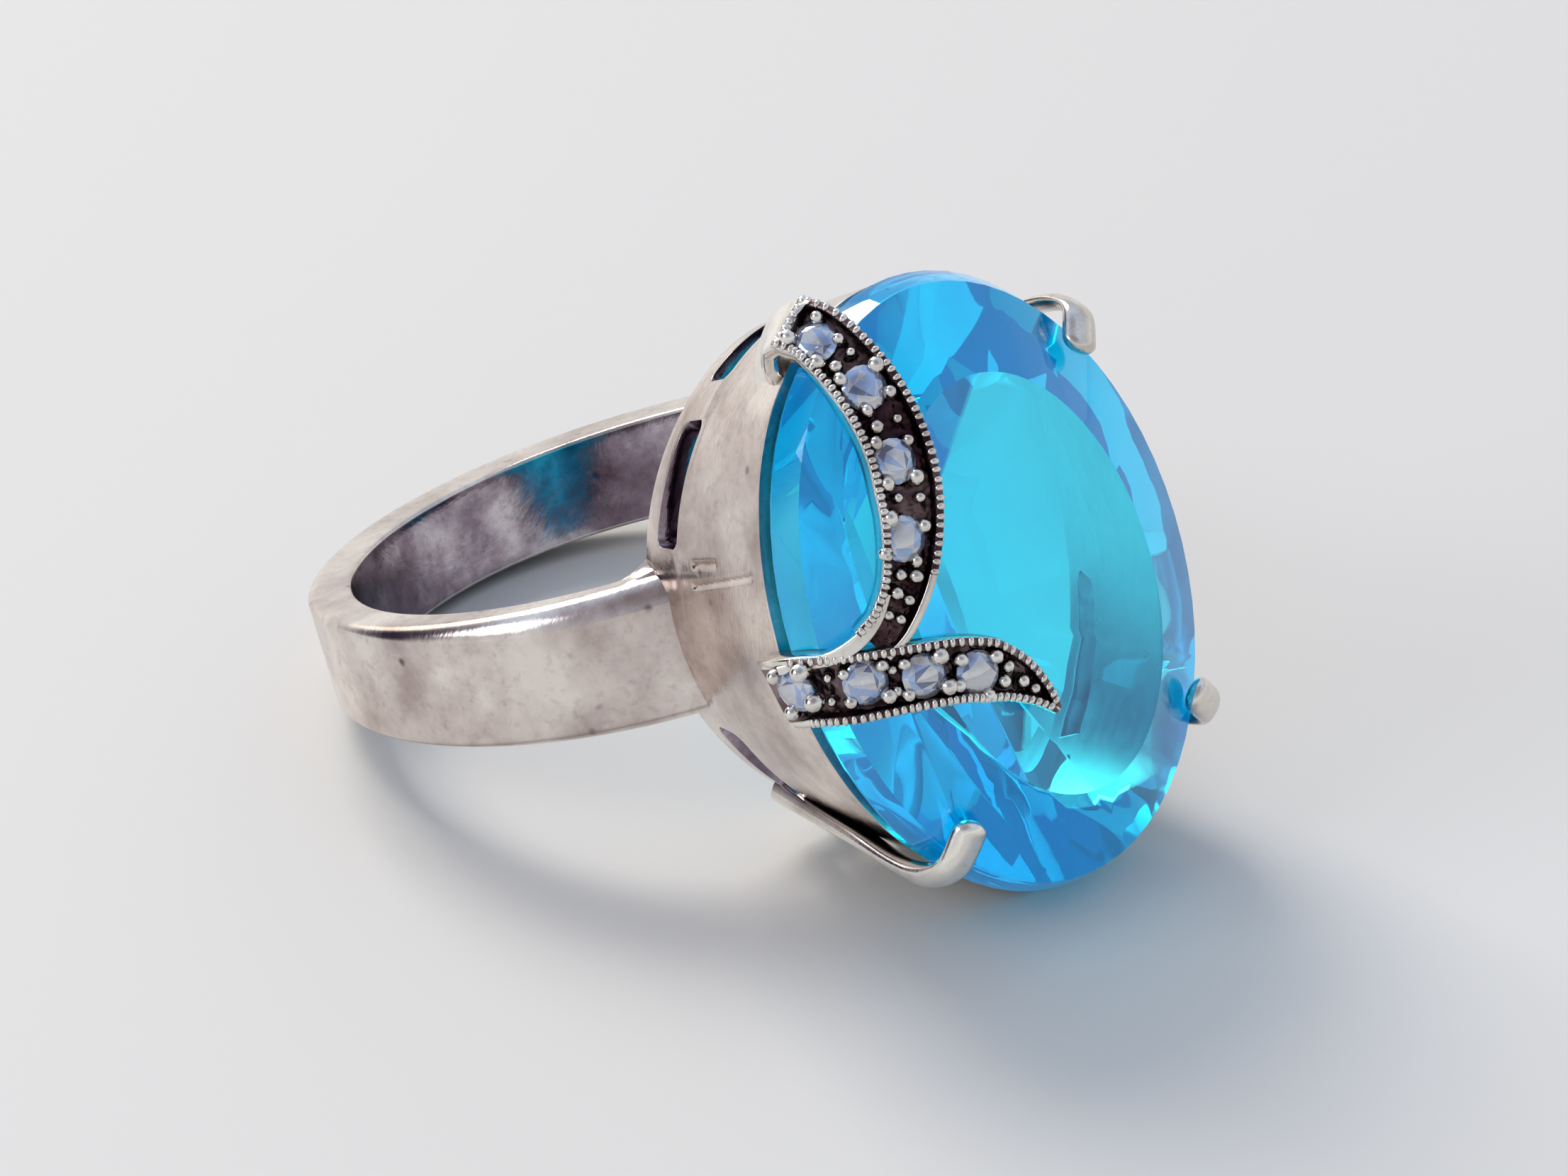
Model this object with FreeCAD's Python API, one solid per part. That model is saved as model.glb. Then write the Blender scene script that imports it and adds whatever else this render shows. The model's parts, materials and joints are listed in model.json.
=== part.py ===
import FreeCAD, Part
import math
import os

# A cocktail ring with a large oval stone, two set leaves laid over it and three claws.
#
# Everything is drawn in the bench frame, in millimetres: the origin is the centre of the finger hole,
# +X points out to the stone, +Y across the ring and +Z along the finger. The head (rim, stone, claws
# and leaves) is drawn square to the bench frame and then turned a few degrees, because it sits
# slightly out of true on its band. At the end the whole ring is laid down on a flat surface.

V = FreeCAD.Vector

# Finger hole and band
finger_radius = 8.6
band_outer_radius = 9.88
band_outer_shift = -0.14
band_back_half_width = 1.49
band_flare = 0.041
band_outer_fillet = 0.35
web_inner_x = 6.3
web_outer_x = 7.3
web_top = 2.9
web_thickness = 0.9

# Gallery: an oval wall from a base line inside the finger hole up to the rim, as half axes in Y and Z.
# Its foot is cut by an oval opening (half axes in X and Y) that stands just clear of the finger hole,
# so the finger bears on the band alone.
base_x = 6.0
base_half = (5.2, 6.75)
base_centre = (-0.1, 0.35)
rim_x = 14.56
rim_half = (6.6, 9.0)
wall_thickness = 0.8
foot_half = (8.62, 8.8)
slot_inner_radius = 9.28
slot_outer_radius = 10.38
side_slot_z = (2.85, 6.25)
end_slot_half_width = 2.9
slot_centre_z = 0.1

# How the head sits on the band: turned about a point on the X axis
head_pivot = V(10, 0, 0)
head_turns = ((V(0, 0, 1), -4.9), (V(0, 1, 0), -4.4), (V(1, 0, 0), 2.5))
head_drop = 0.17

# Centre stone, as half axes in Y and Z
girdle_x = 15.47
girdle_half = (6.75, 9.21)
bevel_height = 0.86
bevel_inset = 0.3
table_x = 17.93
table_half = (4.13, 6.29)
culet_x = 9.9
culet_half = (0.25, 2.2)

# Claws: a strap standing in a plane through the X axis, at this angle round the oval. Two of them lie
# closer to the stone than the third, by this much at their widest.
claw_angle = {"claw_lower_left": 43.0, "claw_lower_right": 43.0, "claw_upper_right": 39.0}
claw_trim = {"claw_lower_left": 0.0, "claw_lower_right": 0.3, "claw_upper_right": 0.3}
claw_width = 1.1

# Leaves: a shallow dome over the stone carries their top faces
dome_edge_x = 16.85
dome_rise = 2.2
dome_half = (6.75, 9.21)
leaf_thickness = 0.7
leaf_rim = 0.22
leaf_recess = 0.25

# Small round stones
accent_radius = 0.66
accent_crown = 0.2
accent_pavilion = 0.42
accent_table = 0.38
accent_sink = 0.22


def head_placement():
    """Turns head pieces about the pivot, after dropping them a little along the finger."""
    turn = FreeCAD.Rotation()
    for axis, angle in head_turns:
        turn = turn.multiply(FreeCAD.Rotation(axis, angle))
    drop = FreeCAD.Placement(V(0, 0, -head_drop), FreeCAD.Rotation())
    return FreeCAD.Placement(V(0, 0, 0), turn, head_pivot).multiply(drop)


def placed(shape, placement):
    moved = shape.copy()
    moved.transformShape(placement.toMatrix(), True)
    return moved


def oval(x, half_y, half_z, centre=(0, 0)):
    """Oval wire square to X, given by its half axes. The longer one has to be the Z one."""
    middle = V(x, centre[0], centre[1])
    ellipse = Part.Ellipse(middle + V(0, 0, half_z), middle + V(0, -half_y, 0), middle)
    return Part.Wire([ellipse.toShape()])


def ruled(*wires):
    return Part.makeLoft(list(wires), True, True)


def finger_cylinder(radius):
    return Part.makeCylinder(radius, 60, V(0, 0, -30))


def foot_opening():
    """Oval bar through the finger hole that trims the gallery's foot and the claws' feet."""
    ellipse = Part.Ellipse(V(0, foot_half[1], -30), V(foot_half[0], 0, -30), V(0, 0, -30))
    return Part.Face(Part.Wire([ellipse.toShape()])).extrude(V(0, 0, 60))


def slab(x, y, z):
    """Box between two limits on each axis."""
    return Part.makeBox(x[1] - x[0], y[1] - y[0], z[1] - z[0], V(x[0], y[0], z[0]))


def gallery_envelope(inset, overshoot):
    """Solid inside the gallery's wall faces. Overshoot runs it past the rim in a straight line."""
    low = oval(base_x, base_half[0] - inset, base_half[1] - inset, base_centre)
    grow = [(rim_half[i] - base_half[i]) / (rim_x - base_x) for i in (0, 1)]
    top_half = [rim_half[i] - inset + grow[i] * overshoot for i in (0, 1)]
    top = placed(oval(rim_x + overshoot, top_half[0], top_half[1]), head_placement())
    return ruled(low, top)


def slots():
    """The pierced slots just above the base rail: two on each side and one at each end."""
    shell = finger_cylinder(slot_outer_radius).cut(finger_cylinder(slot_inner_radius))
    windows = []
    for side in ((-9, -2.5), (2.5, 9)):
        for low, high in (side_slot_z, (-side_slot_z[1], -side_slot_z[0])):
            windows.append(slab((4, 12), side, (low + slot_centre_z, high + slot_centre_z)))
    for end in ((6.4, 12), (-12, -6.1)):
        windows.append(slab((4, 12), (-end_slot_half_width, end_slot_half_width), end))
    return [shell.common(window) for window in windows]


def gallery(stone):
    wall = gallery_envelope(0, 0).cut(gallery_envelope(wall_thickness, 0.5))
    wall = wall.cut(foot_opening())
    for slot in slots():
        wall = wall.cut(slot)
    return wall.cut(stone)


def band_profile():
    """Band seen along Y: narrow at the back and wider towards the head."""
    back_x = -11
    front_x = 10
    back = band_back_half_width + band_flare * (back_x + finger_radius)
    front = band_back_half_width + band_flare * (front_x + finger_radius)
    corners = [V(back_x, 0, back), V(front_x, 0, front), V(front_x, 0, -front), V(back_x, 0, -back)]
    face = Part.Face(Part.makePolygon(corners + corners[:1]))
    face.translate(V(0, -15, 0))
    return face.extrude(V(0, 30, 0))


def band_web():
    """Concave web that carries the band's upper side face out to the gallery's base rail."""
    edge_z = band_back_half_width + band_flare * (web_inner_x + finger_radius)
    low_z = edge_z - 0.5
    start = V(web_inner_x, 0, edge_z)
    end = V(web_outer_x, 0, web_top)
    sag = V(0.13, 0, -0.13) * (web_top - edge_z)
    arc = Part.Arc(start, (start + end) / 2 + sag, end).toShape()
    foot = V(web_outer_x + 1.5, 0, web_top)
    corners = [end, foot, V(foot.x, 0, low_z), V(web_inner_x, 0, low_z), start]
    face = Part.Face(Part.Wire([arc] + Part.makePolygon(corners).Edges))
    face.translate(V(0, -7.5, 0))
    return face.extrude(V(0, 15, 0))


def shank():
    outer = Part.makeCylinder(band_outer_radius, 30, V(band_outer_shift, 0, -15))
    band = outer.common(band_profile()).cut(finger_cylinder(finger_radius))
    rims = [edge for edge in band.Edges if abs(edge.Length - 2 * math.pi * band_outer_radius) < 1]
    band = band.makeFillet(band_outer_fillet, rims)
    skin = finger_cylinder(finger_radius + web_thickness).cut(finger_cylinder(finger_radius))
    band = band.fuse(band_web().common(skin))
    band = band.cut(gallery_envelope(0, 0))
    return max(band.Solids, key=lambda solid: solid.Volume)


def centre_stone():
    """Oval stone: faceted outline is left to the finish, and the form is crown, bevel and pavilion."""
    top_half = [half - bevel_inset for half in girdle_half]
    top_x = girdle_x + bevel_height
    pavilion = ruled(oval(culet_x, *culet_half), oval(girdle_x, *girdle_half))
    bevel = ruled(oval(girdle_x, *girdle_half), oval(top_x, *top_half))
    crown = ruled(oval(top_x, *top_half), oval(table_x, *table_half))
    return pavilion.fuse(bevel).fuse(crown).removeSplitter()


def claw(name, side_y, side_z):
    """Strap claw from the base rail, up outside the wall and bent over the stone.

    Its outline is in a plane through the X axis: distance from that axis, then height along it."""
    inner = [(6.0, 8.0), (6.75, 10.2), (7.4, 12.4), (7.95, 14.2), (8.12, 15.5), (8.0, 16.4), (7.15, 16.8)]
    outer = [(6.75, 7.9), (7.3, 10.0), (7.95, 12.4), (8.6, 14.5), (8.85, 15.8), (8.45, 17.0), (7.3, 17.55)]
    closer = [0, 0, 0.2, 0.7, 1, 1, 0.3]
    outer = [(radius - claw_trim[name] * share, height) for (radius, height), share in zip(outer, closer)]
    around = math.radians(claw_angle[name])
    y = side_y * rim_half[0] * math.cos(around)
    z = side_z * rim_half[1] * math.sin(around)
    outward = V(0, y, z).normalize()
    across = V(1, 0, 0).cross(outward)
    curves = []
    for line in (inner, outer):
        points = [V(height, 0, 0) + outward * radius for radius, height in line]
        curve = Part.BSplineCurve()
        curve.interpolate(points)
        curves.append((curve.toShape(), points))
    foot = Part.makeLine(curves[0][1][0], curves[1][1][0])
    tip_middle = V(17.25, 0, 0) + outward * 6.95
    tip = Part.Arc(curves[0][1][-1], tip_middle, curves[1][1][-1]).toShape()
    outline = Part.Wire(Part.__sortEdges__([curves[0][0], tip, curves[1][0], foot]))
    face = Part.Face(outline)
    face.translate(across * (-claw_width / 2))
    return face.extrude(across * claw_width)


def dome_x(y, z):
    """Height of the leaves' top faces over the stone, flat in the middle and steep past its edge."""
    spread = (y / dome_half[0]) ** 2 + (z / dome_half[1]) ** 2
    return dome_edge_x + dome_rise * (1 - spread ** 2)


def outward_at(point):
    """Direction away from the stone: up over the stone, and level where a leaf bends down its side."""
    rise = max(point.x - girdle_x, 0) / 9.0
    return V(rise, point.y / dome_half[0] ** 2, point.z / dome_half[1] ** 2).normalize()


def on_dome(flat_points):
    return [V(dome_x(y, z), y, z) for y, z in flat_points]


def ribbon(points, widths, top, bottom, start=0.0, end=1.0, steps=11):
    """Solid strip along a smooth path. Widths are spread evenly along it; top and bottom are heights
    of its faces over the path, and start and end say how much of the path it covers."""
    curve = Part.BSplineCurve()
    curve.interpolate(points)
    sections = []
    for step in range(steps):
        share = start + (end - start) * step / (steps - 1)
        at = curve.FirstParameter + (curve.LastParameter - curve.FirstParameter) * share
        point = curve.value(at)
        along = curve.tangent(at)[0]
        across = along.cross(outward_at(point)).normalize()
        up = across.cross(along).normalize()
        place = share * (len(widths) - 1)
        low = min(int(place), len(widths) - 2)
        width = widths[low] + (widths[low + 1] - widths[low]) * (place - low)
        corners = [point + across * (s * width / 2) + up * h
                   for s, h in ((-1, bottom), (1, bottom), (1, top), (-1, top))]
        sections.append(Part.makePolygon(corners + corners[:1]))
    return Part.makeLoft(sections, True, False)


upper_leaf_path = [V(15.4, -3.03, 9.55)] + on_dome(
    [(-2.75, 8.95), (-2.7, 7.4), (-2.87, 5.7), (-3.37, 3.9), (-4.15, 2.3), (-5.0, 1.25), (-5.7, 0.75)])
upper_leaf_widths = [1.75, 1.9, 2.0, 2.03, 2.05, 1.8, 1.5, 1.35]
# Plain edge that runs on from the upper leaf's near rim and lies beside the lower leaf
sweep_path = on_dome([(-4.95, 2.05), (-5.42, 1.45), (-5.95, 1.03), (-6.55, 0.8)]) + [
    V(16.2, -7.0, 0.77), V(15.5, -7.4, 0.75)]
sweep_widths = [0.34, 0.4, 0.44, 0.4, 0.34, 0.26]
lower_leaf_path = [V(13.9, -6.85, -0.27), V(14.9, -7.3, -0.1), V(16.1, -7.2, 0.0)] + on_dome(
    [(-6.43, -0.23), (-5.0, -0.52), (-3.55, -0.96), (-2.5, -1.6), (-1.75, -2.45), (-1.33, -3.26)])
lower_leaf_widths = [2.1, 2.15, 2.1, 2.05, 1.95, 1.9, 1.85, 1.2, 0.3]
strap_path = [V(15.3, -3.03, 9.5), V(14.35, -3.05, 9.2), V(13.65, -3.1, 8.45), V(13.35, -3.15, 7.6),
              V(13.3, -3.2, 6.9)]
upper_accents = on_dome([(-2.95, 8.9), (-2.73, 7.36), (-3.15, 5.28), (-3.9, 3.24)])
lower_accents = [V(15.8, -7.44, 0.1)] + on_dome([(-6.13, -0.2), (-4.78, -0.6), (-3.33, -1.18)])


def leaf(path, widths, accents, recess_start, recess_end):
    body = ribbon(path, widths, 0, -leaf_thickness)
    floor_widths = [max(width - 2 * leaf_rim, 0.1) for width in widths]
    trough = ribbon(path, floor_widths, 0.3, -leaf_recess, recess_start, recess_end)
    body = body.cut(trough)
    for stone in accents:
        body = body.cut(stone)
    return max(body.Solids, key=lambda solid: solid.Volume)


def accent_stone(point):
    """Round stone set square to the leaf, a little below its rim."""
    outline = [V(0, 0, accent_crown), V(accent_table, 0, accent_crown), V(accent_radius, 0, 0.03),
               V(accent_radius, 0, -0.03), V(0, 0, -accent_pavilion), V(0, 0, accent_crown)]
    solid = Part.Face(Part.makePolygon(outline)).revolve(V(0, 0, 0), V(0, 0, 1), 360)
    up = outward_at(point)
    turn = FreeCAD.Rotation(V(0, 0, 1), up)
    return placed(solid, FreeCAD.Placement(point - up * accent_sink, turn))


def build():
    """Every piece in the bench frame, by node name."""
    head = head_placement()
    stone = placed(centre_stone(), head)
    wall = gallery(stone)
    pieces = {"shank": shank(), "gallery": wall, "centre_stone": stone}
    claws = {"claw_lower_left": (-1, -1), "claw_lower_right": (1, -1), "claw_upper_right": (1, 1)}
    for name, sides in claws.items():
        strap = placed(claw(name, *sides), head).cut(wall).cut(stone)
        strap = strap.cut(foot_opening())
        pieces[name] = max(strap.Solids, key=lambda solid: solid.Volume)
    uppers = [accent_stone(point) for point in upper_accents]
    lowers = [accent_stone(point) for point in lower_accents]
    lower = leaf(lower_leaf_path, lower_leaf_widths, lowers, 0.03, 0.93)
    lower_block = ribbon(lower_leaf_path, lower_leaf_widths, 0.4, -leaf_thickness)
    sweep = ribbon(sweep_path, sweep_widths, 0.02, -leaf_thickness)
    upper = leaf(upper_leaf_path, upper_leaf_widths, uppers, 0.04, 1.0).fuse(sweep).cut(lower_block)
    upper = max(upper.Solids, key=lambda solid: solid.Volume)
    upper_block = ribbon(upper_leaf_path, upper_leaf_widths, 0.4, -leaf_thickness)
    strap = ribbon(strap_path, [1.75, 1.75], 0, -0.5).cut(upper_block)
    pieces["lower_leaf"] = placed(lower, head).cut(wall).cut(stone)
    pieces["upper_leaf"] = placed(upper, head).cut(stone)
    pieces["upper_leaf_strap"] = placed(strap, head).cut(wall).cut(stone)
    for number, shape in enumerate(uppers + lowers, 1):
        pieces[f"accent_stone_{number}"] = placed(shape, head)
    for name in ("lower_leaf", "upper_leaf", "upper_leaf_strap"):
        pieces[name] = max(pieces[name].Solids, key=lambda solid: solid.Volume)
    return pieces


def resting_placement(pieces):
    """Lays the ring on the XY plane on its back edge and the foot of its gallery, stone towards -Y."""
    back_x = band_outer_shift - band_outer_radius
    back_z = -(band_back_half_width + band_flare * (back_x + finger_radius))
    foot_x = foot_half[0]
    grow = (rim_half[1] - base_half[1]) / (rim_x - base_x)
    foot_z = base_centre[1] - base_half[1] - grow * (foot_x - base_x)
    lean = math.degrees(math.atan2(back_z - foot_z, foot_x - back_x))
    lay = FreeCAD.Rotation(V(0, 0, 1), -90).multiply(FreeCAD.Rotation(V(0, 1, 0), -lean))
    laid = [placed(shape, FreeCAD.Placement(V(), lay)) for shape in pieces.values()]
    box = Part.makeCompound(laid).optimalBoundingBox(True, False)
    centre = V((box.XMin + box.XMax) / 2, (box.YMin + box.YMax) / 2, box.ZMin)
    print("lean", round(lean, 3), "finger axis", lay.multVec(V(0, 0, 1)), "hole centre", -centre)
    print("box", box.XLength, box.YLength, box.ZLength)
    return FreeCAD.Placement(-centre, lay)


def main():
    os.makedirs("parts", exist_ok=True)
    pieces = build()
    rest = resting_placement(pieces)
    for name, shape in pieces.items():
        solid = placed(shape, rest)
        print(name, solid.ShapeType, len(solid.Solids), round(solid.Volume, 2), solid.isValid())
        solid.exportStep(f"parts/{name}.step")


main()
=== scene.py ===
import bpy
import bmesh
import json
import math
import random
from mathutils import Matrix, Vector, noise


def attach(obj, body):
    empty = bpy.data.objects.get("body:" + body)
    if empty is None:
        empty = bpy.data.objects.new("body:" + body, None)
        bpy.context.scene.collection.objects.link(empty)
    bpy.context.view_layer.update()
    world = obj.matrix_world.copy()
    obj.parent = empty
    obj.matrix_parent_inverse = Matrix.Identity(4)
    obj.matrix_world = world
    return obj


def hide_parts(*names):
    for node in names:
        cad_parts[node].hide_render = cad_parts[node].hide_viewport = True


# The ring's own pieces are drawn in millimetres in two frames. The bench frame has its origin in the
# centre of the finger hole, +X out to the stone, +Y across the ring and +Z along the finger. The head
# frame is the bench frame turned a few degrees, because the head sits slightly out of true.

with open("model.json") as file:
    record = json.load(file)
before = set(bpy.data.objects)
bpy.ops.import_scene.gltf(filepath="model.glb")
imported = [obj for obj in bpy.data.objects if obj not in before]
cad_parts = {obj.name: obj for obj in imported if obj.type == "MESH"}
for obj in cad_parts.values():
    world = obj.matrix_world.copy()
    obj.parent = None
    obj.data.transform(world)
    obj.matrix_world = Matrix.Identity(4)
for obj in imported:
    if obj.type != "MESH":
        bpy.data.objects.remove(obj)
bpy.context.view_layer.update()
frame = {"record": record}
chance = random.Random(7)

mount = frame["record"]["mounts"][0]
finger_axis = Vector(mount["axis"]).normalized()
hole_centre = Vector(mount["pos_m"])
laid_axes = Matrix(((0, 1, finger_axis.x),
                    (-finger_axis.z, 0, finger_axis.y),
                    (finger_axis.y, 0, finger_axis.z))).to_4x4()
BENCH = Matrix.Translation(hole_centre) @ laid_axes @ Matrix.Scale(0.001, 4)
head_pivot = Vector((10, 0, 0))
head_turn = (Matrix.Rotation(math.radians(-4.9), 4, "Z") @ Matrix.Rotation(math.radians(-4.4), 4, "Y")
             @ Matrix.Rotation(math.radians(2.5), 4, "X"))
HEAD_IN_BENCH = (Matrix.Translation(head_pivot) @ head_turn @ Matrix.Translation(-head_pivot)
                 @ Matrix.Translation((0, 0, -0.17)))
HEAD = BENCH @ HEAD_IN_BENCH

# Band
bore_radius = 8.6
band_radius = 9.88
band_shift = -0.14
band_back_half_width = 1.49
band_flare = 0.041
bore_edge_round = 0.12
web_reach = 0.85
bore_points = 9

# Gallery wall, as half axes in Y and Z
base_x, base_half, base_centre = 6.0, (5.2, 6.75), (-0.1, 0.35)
rim_x, rim_half = 14.56, (6.6, 9.0)
wall_thickness = 0.8
foot_half = (8.62, 8.8)
crease_height = 2.1
base_swell = 0.12
slot_radii = (9.28, 10.38)

# Stone, as half axes in Y and Z
girdle_x, girdle_half = 15.47, (6.75, 9.21)
bevel_x, bevel_half = 16.33, (6.45, 8.91)
table_x, table_half = 17.93, (4.13, 6.29)
culet_x, culet_half = 9.9, (0.25, 2.2)

# Leaves
dome_x, dome_rise, dome_half = 16.85, 2.2, (6.75, 9.21)


# ---------------------------------------------------------------- small geometry helpers

def ease(low, high, value):
    """Smooth 0 to 1 step between two limits."""
    share = min(max((value - low) / (high - low), 0.0), 1.0)
    return share * share * (3 - 2 * share)


def spline(points, count):
    """Points evenly spaced by length along a smooth curve through the given ones."""
    points = [Vector(p) for p in points]
    ends = [points[0] * 2 - points[1]] + points + [points[-1] * 2 - points[-2]]
    dense = []
    for i in range(1, len(ends) - 2):
        a, b, c, d = ends[i - 1:i + 3]
        for step in range(40):
            t = step / 40
            dense.append(0.5 * (2 * b + (c - a) * t + (2 * a - 5 * b + 4 * c - d) * t * t
                                + (3 * b - a - 3 * c + d) * t ** 3))
    dense.append(points[-1])
    lengths = [0.0]
    for a, b in zip(dense, dense[1:]):
        lengths.append(lengths[-1] + (b - a).length)
    out, low = [], 0
    for step in range(count):
        want = lengths[-1] * step / (count - 1)
        while low < len(dense) - 2 and lengths[low + 1] < want:
            low += 1
        span = lengths[low + 1] - lengths[low] or 1
        out.append(dense[low].lerp(dense[low + 1], (want - lengths[low]) / span))
    return out


def path_length(points):
    return sum((b - a).length for a, b in zip(points, points[1:]))


def between(values, share):
    """Value at a share of the way along an evenly spread list."""
    place = min(max(share, 0.0), 1.0) * (len(values) - 1)
    low = min(int(place), len(values) - 2)
    return values[low] + (values[low + 1] - values[low]) * (place - low)


class Shape:
    """Vertices, faces and a finish number for each face."""

    def __init__(self):
        self.verts, self.faces, self.kinds, self.flat = [], [], [], []

    def add(self, verts, faces, kind=0, flat=False):
        first = len(self.verts)
        self.verts += [Vector(v) for v in verts]
        for n, face in enumerate(faces):
            self.faces.append([first + i for i in face])
            self.kinds.append(kind[n] if isinstance(kind, list) else kind)
            self.flat.append(flat)

    def skin(self, rings, kind_at=None):
        """Closes matching rings into a tube with two end caps. kind_at gives the finish of a face."""
        count = len(rings[0])
        faces, kinds = [], []
        for i in range(len(rings) - 1):
            for j in range(count):
                k = (j + 1) % count
                faces.append((i * count + j, i * count + k, (i + 1) * count + k, (i + 1) * count + j))
                kinds.append(kind_at(i, j) if kind_at else 0)
        last = (len(rings) - 1) * count
        faces.append(tuple(range(count - 1, -1, -1)))
        faces.append(tuple(range(last, last + count)))
        kinds += [0, 0]
        self.add([p for ring in rings for p in ring], faces, kinds)

    def bead(self, centre, axes, kind=0, around=10, down=6):
        """Small ball with the given half axes."""
        verts = [centre + axes[2]]
        for i in range(1, down):
            polar = math.pi * i / down
            for j in range(around):
                turn = 2 * math.pi * j / around
                verts.append(centre + axes[0] * (math.sin(polar) * math.cos(turn))
                             + axes[1] * (math.sin(polar) * math.sin(turn)) + axes[2] * math.cos(polar))
        verts.append(centre - axes[2])
        faces = []
        for j in range(around):
            k = (j + 1) % around
            faces.append((0, 1 + j, 1 + k))
            for i in range(down - 2):
                a, b = 1 + i * around, 1 + (i + 1) * around
                faces.append((a + j, b + j, b + k, a + k))
            bottom = 1 + (down - 2) * around
            faces.append((bottom + j, len(verts) - 1, bottom + k))
        self.add(verts, faces, kind)


def piece(name, shape, matrix, finishes, sharp_angle=35, bevel=0.0):
    """Turns a shape into an object in the row frame that stands for a CAD node."""
    mesh = bpy.data.meshes.new(name)
    mesh.from_pydata([tuple(v) for v in shape.verts], [], shape.faces)
    for polygon, kind, flat in zip(mesh.polygons, shape.kinds, shape.flat):
        polygon.material_index = kind
        polygon.use_smooth = not flat
    work = bmesh.new()
    work.from_mesh(mesh)
    bmesh.ops.remove_doubles(work, verts=work.verts, dist=0.0005)
    bmesh.ops.recalc_face_normals(work, faces=work.faces)
    work.to_mesh(mesh)
    work.free()
    obj = bpy.data.objects.new(name, mesh)
    bpy.context.scene.collection.objects.link(obj)
    if bevel:
        soften = obj.modifiers.new("edge", "BEVEL")
        soften.width = bevel
        soften.segments = 3
        soften.limit_method = "ANGLE"
        soften.angle_limit = math.radians(40)
        view = bpy.context.evaluated_depsgraph_get()
        obj.data = bpy.data.meshes.new_from_object(obj.evaluated_get(view))
        obj.modifiers.clear()
    obj.data.set_sharp_from_angle(angle=math.radians(sharp_angle))
    obj.data.transform(matrix)
    for finish in finishes:
        obj.data.materials.append(finish)
    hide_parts(name)
    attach(obj, "root")


# ---------------------------------------------------------------- materials

class Nodes:
    """Short way to add and join shader nodes.

    An input is given by its name, with _ for a space, or by its number as i0, i1 and so on."""

    def __init__(self, tree):
        self.tree = tree
        tree.nodes.clear()

    def add(self, kind, settings=None, **inputs):
        node = self.tree.nodes.new(kind)
        for key, value in (settings or {}).items():
            setattr(node, key, value)
        for key, value in inputs.items():
            numbered = key[0] == "i" and key[1:].isdigit()
            socket = node.inputs[int(key[1:]) if numbered else key.replace("_", " ")]
            if isinstance(value, bpy.types.NodeSocket):
                self.tree.links.new(value, socket)
            else:
                socket.default_value = value
        return node

    def ramp(self, factor, stops):
        node = self.add("ShaderNodeValToRGB")
        self.tree.links.new(factor, node.inputs[0])
        stripes = node.color_ramp.elements
        while len(stripes) < len(stops):
            stripes.new(0.5)
        for stripe, (position, colour) in zip(stripes, stops):
            stripe.position = position
            stripe.color = (*colour, 1)
        return node.outputs["Color"]

    def noise(self, place, scale, detail, roughness):
        return self.add("ShaderNodeTexNoise", Vector=place, Scale=scale, Detail=detail,
                        Roughness=roughness).outputs["Fac"]

    def mix(self, factor, first, second):
        """Blend of two colours: 6, 7 and 2 are the node's colour sockets."""
        return self.add("ShaderNodeMix", {"data_type": "RGBA"}, Factor=factor, i6=first, i7=second).outputs[2]

    def scale(self, factor, low, high, to_low, to_high):
        return self.add("ShaderNodeMapRange", i0=factor, i1=low, i2=high, i3=to_low, i4=to_high).outputs[0]


def new_material(name):
    material = bpy.data.materials.new(name)
    material.use_nodes = True
    return material, Nodes(material.node_tree)


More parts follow.
